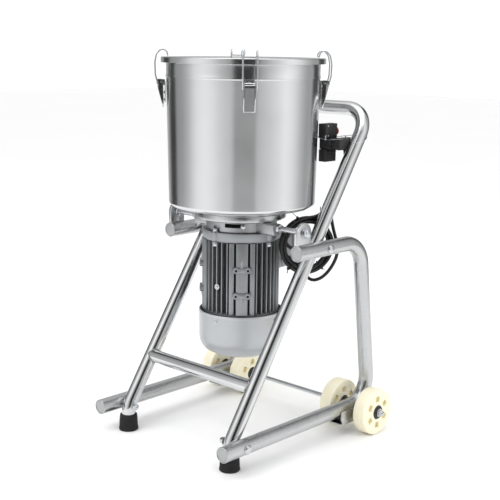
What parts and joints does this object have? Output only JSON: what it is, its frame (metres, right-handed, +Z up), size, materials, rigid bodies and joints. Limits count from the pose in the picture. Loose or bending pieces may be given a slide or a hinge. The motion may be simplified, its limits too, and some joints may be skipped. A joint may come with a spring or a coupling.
{
  "type": "tilting drum grinder",
  "caption": "Wheeled tilting drum grinder: a latched stainless drum over a flange motor, hung on pivots in a bent-tube stand.",
  "frame": {"origin": "on the floor, under the middle of the stand's footprint", "axes": "+Z up; the drum tips over towards -Y, where the feet are; +Y is the handle side; +X is the side of the stop switch; X is the pivot axis"},
  "size_m": [0.5618, 0.5198, 0.8682],
  "materials": {
    "polished_stainless": "polished",
    "satin_stainless": "satin",
    "cast_aluminium": "as cast",
    "cowl_paint": "satin",
    "black_rubber": "matt",
    "black_plastic": "fine texture",
    "ivory_nylon": "moulded",
    "red_plastic": "gloss",
    "silicone": "matt",
    "winding_copper": "varnished",
    "blade_steel": "ground"
  },
  "bodies": {
    "frame": {"handle_frame": "polished_stainless", "front_crossbar": "polished_stainless", "right_side_frame": "satin_stainless", "right_foot": "black_rubber", "right_lower_bolt": "polished_stainless", "right_upper_bolt": "polished_stainless", "left_side_frame": "satin_stainless", "left_foot": "black_rubber", "left_lower_bolt": "polished_stainless", "left_upper_bolt": "polished_stainless", "wheel_axle": "satin_stainless", "switch_bracket": "black_plastic", "switch_housing": "black_plastic", "cable_box": "black_plastic", "cord_gland": "black_rubber", "power_cord_lead": "black_rubber", "power_cord_coil": "black_rubber", "power_cord_tail": "black_rubber", "power_plug": "black_rubber", "motor_lead": "black_rubber"},
    "drum_unit": {"drum": "polished_stainless", "base_ring": "satin_stainless", "neck": "cast_aluminium", "motor_housing": "cast_aluminium", "lower_shield": "cast_aluminium", "stator": "winding_copper", "fan_cowl": "cowl_paint", "terminal_box": "cast_aluminium", "terminal_lid": "cast_aluminium", "upper_bearing": "satin_stainless", "lower_bearing": "satin_stainless", "shaft_seal": "black_rubber", "right_pivot_bolt": "polished_stainless", "left_pivot_bolt": "polished_stainless", "latch_base_1": "satin_stainless", "latch_base_2": "satin_stainless", "latch_base_3": "satin_stainless", "latch_base_4": "satin_stainless"},
    "rotor": {"motor_shaft": "satin_stainless", "cooling_fan": "black_plastic", "lower_blade": "blade_steel", "blade_spacer": "satin_stainless", "upper_blade": "blade_steel", "blade_nut": "satin_stainless"},
    "lid_body": {"lid": "polished_stainless", "lid_gasket": "silicone"},
    "stop_button_body": {"stop_button": "red_plastic"},
    "right_inner_wheel_body": {"right_inner_wheel": "ivory_nylon"},
    "right_outer_wheel_body": {"right_outer_wheel": "ivory_nylon"},
    "left_inner_wheel_body": {"left_inner_wheel": "ivory_nylon"},
    "left_outer_wheel_body": {"left_outer_wheel": "ivory_nylon"},
    "latch_lever_1_body": {"latch_lever_1": "polished_stainless"},
    "latch_bail_1_body": {"latch_bail_1": "polished_stainless"},
    "latch_lever_2_body": {"latch_lever_2": "polished_stainless"},
    "latch_bail_2_body": {"latch_bail_2": "polished_stainless"},
    "latch_lever_3_body": {"latch_lever_3": "polished_stainless"},
    "latch_bail_3_body": {"latch_bail_3": "polished_stainless"},
    "latch_lever_4_body": {"latch_lever_4": "polished_stainless"},
    "latch_bail_4_body": {"latch_bail_4": "polished_stainless"}
  },
  "joints": [
    {"name": "drum_tilt", "type": "hinge", "parent": "frame", "child": "drum_unit", "pos_m": [0, -0.0219, 0.489], "axis": [1, 0, 0], "range_deg": [0, 95], "deforming": ["motor_lead"]},
    {"name": "rotor_spin", "type": "hinge", "parent": "drum_unit", "child": "rotor", "pos_m": [0, -0.0044, 0.5], "axis": [0, 0, 1], "continuous": true},
    {"name": "lid_lift", "type": "slide", "parent": "drum_unit", "child": "lid_body", "axis": [0, 0, 1], "range_m": [0, 0.035]},
    {"name": "stop_button_press", "type": "slide", "parent": "frame", "child": "stop_button_body", "axis": [0, -1, 0], "range_m": [0, 0.0035], "stiffness_N_per_m": 600},
    {"name": "right_inner_wheel_roll", "type": "hinge", "parent": "frame", "child": "right_inner_wheel_body", "pos_m": [-0.1491, 0.18, 0.053], "axis": [1, 0, 0], "continuous": true},
    {"name": "right_outer_wheel_roll", "type": "hinge", "parent": "frame", "child": "right_outer_wheel_body", "pos_m": [-0.2471, 0.18, 0.053], "axis": [1, 0, 0], "continuous": true},
    {"name": "left_inner_wheel_roll", "type": "hinge", "parent": "frame", "child": "left_inner_wheel_body", "pos_m": [0.1491, 0.18, 0.053], "axis": [1, 0, 0], "continuous": true},
    {"name": "left_outer_wheel_roll", "type": "hinge", "parent": "frame", "child": "left_outer_wheel_body", "pos_m": [0.2471, 0.18, 0.053], "axis": [1, 0, 0], "continuous": true},
    {"name": "latch_lever_1_turn", "type": "hinge", "parent": "drum_unit", "child": "latch_lever_1_body", "pos_m": [0.13302, -0.12417, 0.797], "axis": [-0.6691, -0.7431, 0], "range_deg": [0, 105.5]},
    {"name": "latch_bail_1_turn", "type": "hinge", "parent": "latch_lever_1_body", "child": "latch_bail_1_body", "pos_m": [0.13897, -0.12953, 0.79], "axis": [0.6691, 0.7431, 0], "range_deg": [0, 158.5]},
    {"name": "latch_lever_2_turn", "type": "hinge", "parent": "drum_unit", "child": "latch_lever_2_body", "pos_m": [0.11977, 0.12862, 0.797], "axis": [0.7431, -0.6691, 0], "range_deg": [0, 105.5]},
    {"name": "latch_bail_2_turn", "type": "hinge", "parent": "latch_lever_2_body", "child": "latch_bail_2_body", "pos_m": [0.12513, 0.13457, 0.79], "axis": [-0.7431, 0.6691, 0], "range_deg": [0, 158.5]},
    {"name": "latch_lever_3_turn", "type": "hinge", "parent": "drum_unit", "child": "latch_lever_3_body", "pos_m": [-0.13302, 0.11537, 0.797], "axis": [0.6691, 0.7431, 0], "range_deg": [0, 105.5]},
    {"name": "latch_bail_3_turn", "type": "hinge", "parent": "latch_lever_3_body", "child": "latch_bail_3_body", "pos_m": [-0.13897, 0.12073, 0.79], "axis": [-0.6691, -0.7431, 0], "range_deg": [0, 158.5]},
    {"name": "latch_lever_4_turn", "type": "hinge", "parent": "drum_unit", "child": "latch_lever_4_body", "pos_m": [-0.11977, -0.13742, 0.797], "axis": [-0.7431, 0.6691, 0], "range_deg": [0, 105.5]},
    {"name": "latch_bail_4_turn", "type": "hinge", "parent": "latch_lever_4_body", "child": "latch_bail_4_body", "pos_m": [-0.12513, -0.14337, 0.79], "axis": [0.7431, -0.6691, 0], "range_deg": [0, 158.5]}
  ],
  "couplings": [
    {"joint": "latch_lever_1_turn", "follows": "lid_lift", "rad_per_m": 52.36},
    {"joint": "latch_bail_1_turn", "follows": "lid_lift", "rad_per_m": 78.54},
    {"joint": "latch_lever_2_turn", "follows": "lid_lift", "rad_per_m": 52.36},
    {"joint": "latch_bail_2_turn", "follows": "lid_lift", "rad_per_m": 78.54},
    {"joint": "latch_lever_3_turn", "follows": "lid_lift", "rad_per_m": 52.36},
    {"joint": "latch_bail_3_turn", "follows": "lid_lift", "rad_per_m": 78.54},
    {"joint": "latch_lever_4_turn", "follows": "lid_lift", "rad_per_m": 52.36},
    {"joint": "latch_bail_4_turn", "follows": "lid_lift", "rad_per_m": 78.54}
  ]
}
